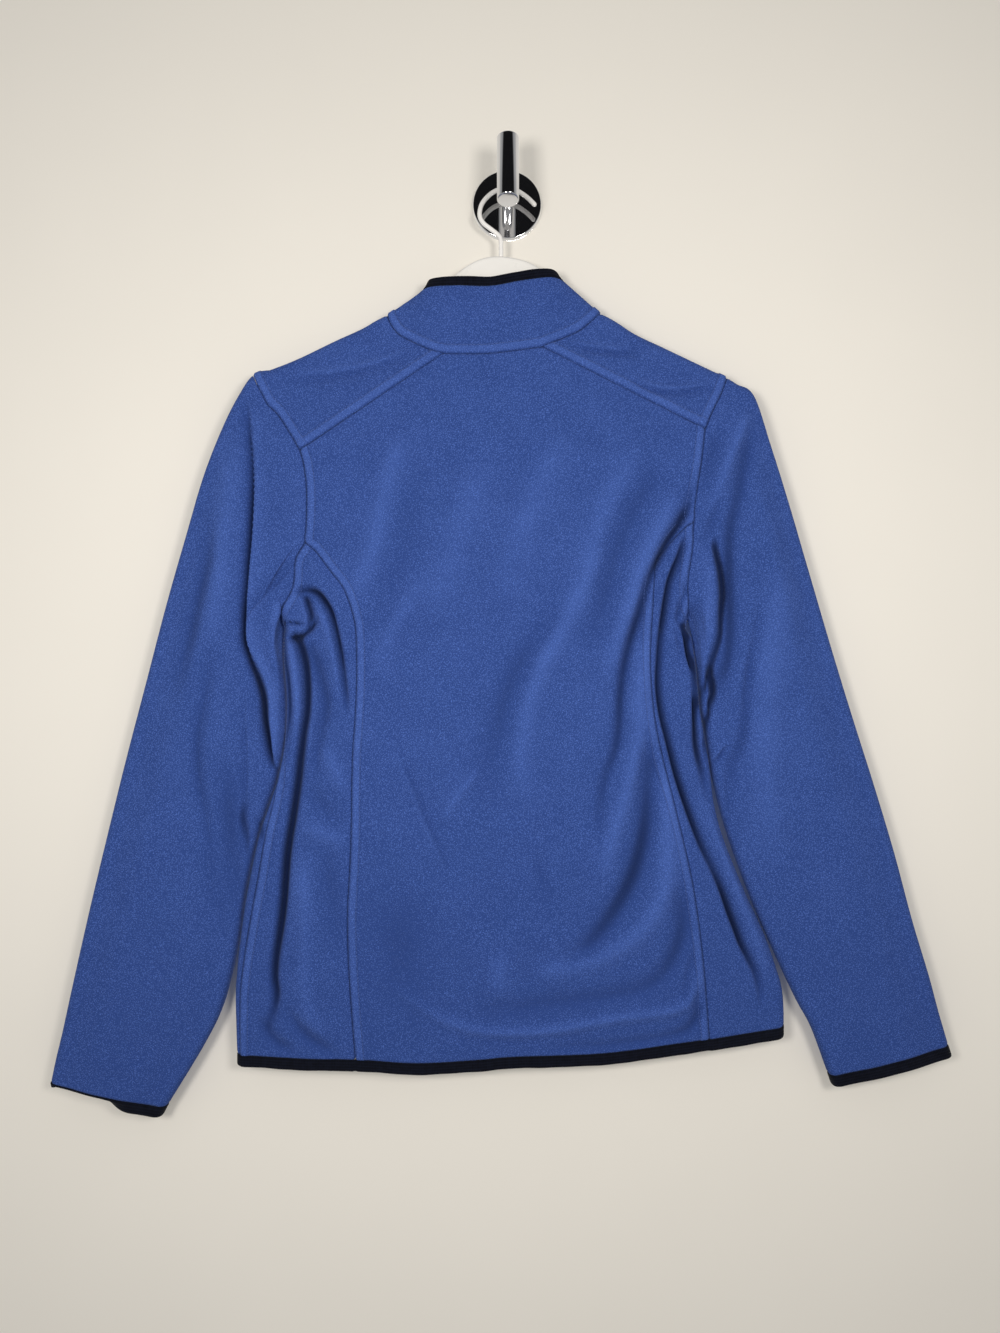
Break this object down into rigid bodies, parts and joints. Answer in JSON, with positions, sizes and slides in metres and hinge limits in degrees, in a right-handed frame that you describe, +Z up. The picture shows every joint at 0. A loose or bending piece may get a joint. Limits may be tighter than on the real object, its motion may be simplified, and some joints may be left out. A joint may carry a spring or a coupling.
{
  "type": "fleece zip jacket on a hanger and wall hook",
  "caption": "Fitted fleece jacket with stand collar, long sleeves, knit bindings and a full-length zip, hanging flat on a plastic hanger from a round wall hook.",
  "frame": {"origin": "centre of the wall plate's back face, where it is screwed or stuck to the wall", "axes": "+Z up, +Y into the wall; the jacket hangs on the -Y side with its back towards -Y and its zip towards +Y, and the wearer's left is at -X"},
  "size_m": [0.8004, 0.0673, 0.8502],
  "materials": {
    "fleece": "matt brushed micro fleece, mid blue",
    "rib_binding": "matt navy knit binding",
    "zip_tape": "matt woven tape, blue",
    "zip_teeth": "satin moulded coil, blue",
    "zip_metal": "satin dark paint",
    "hanger_plastic": "satin white moulded plastic",
    "hook_wire": "white coated wire",
    "chrome": "polished chrome"
  },
  "bodies": {
    "jacket": {"back": "fleece", "back_side_left": "fleece", "back_side_right": "fleece", "front_left": "fleece", "front_right": "fleece", "sleeve_left": "fleece", "sleeve_right": "fleece", "collar": "fleece", "cuff_binding_left": "rib_binding", "cuff_binding_right": "rib_binding", "collar_binding": "rib_binding", "hem_binding_front_left": "rib_binding", "hem_binding_side_left": "rib_binding", "hem_binding_back": "rib_binding", "hem_binding_side_right": "rib_binding", "hem_binding_front_right": "rib_binding", "zip_tape_left": "zip_tape", "zip_tape_right": "zip_tape", "zip_chain": "zip_teeth", "zip_slider": "zip_metal", "hanger": "hanger_plastic", "hanger_hook": "hook_wire", "wall_plate": "chrome", "wall_hook": "chrome"},
    "pull_tab": {"zip_pull_tab": "zip_metal"}
  },
  "joints": [
    {"name": "zip_tab_hinge", "type": "hinge", "parent": "jacket", "child": "pull_tab", "pos_m": [-0.014, -0.00745, -0.13926], "axis": [1, 0, 0], "range_deg": [0, 170]}
  ]
}
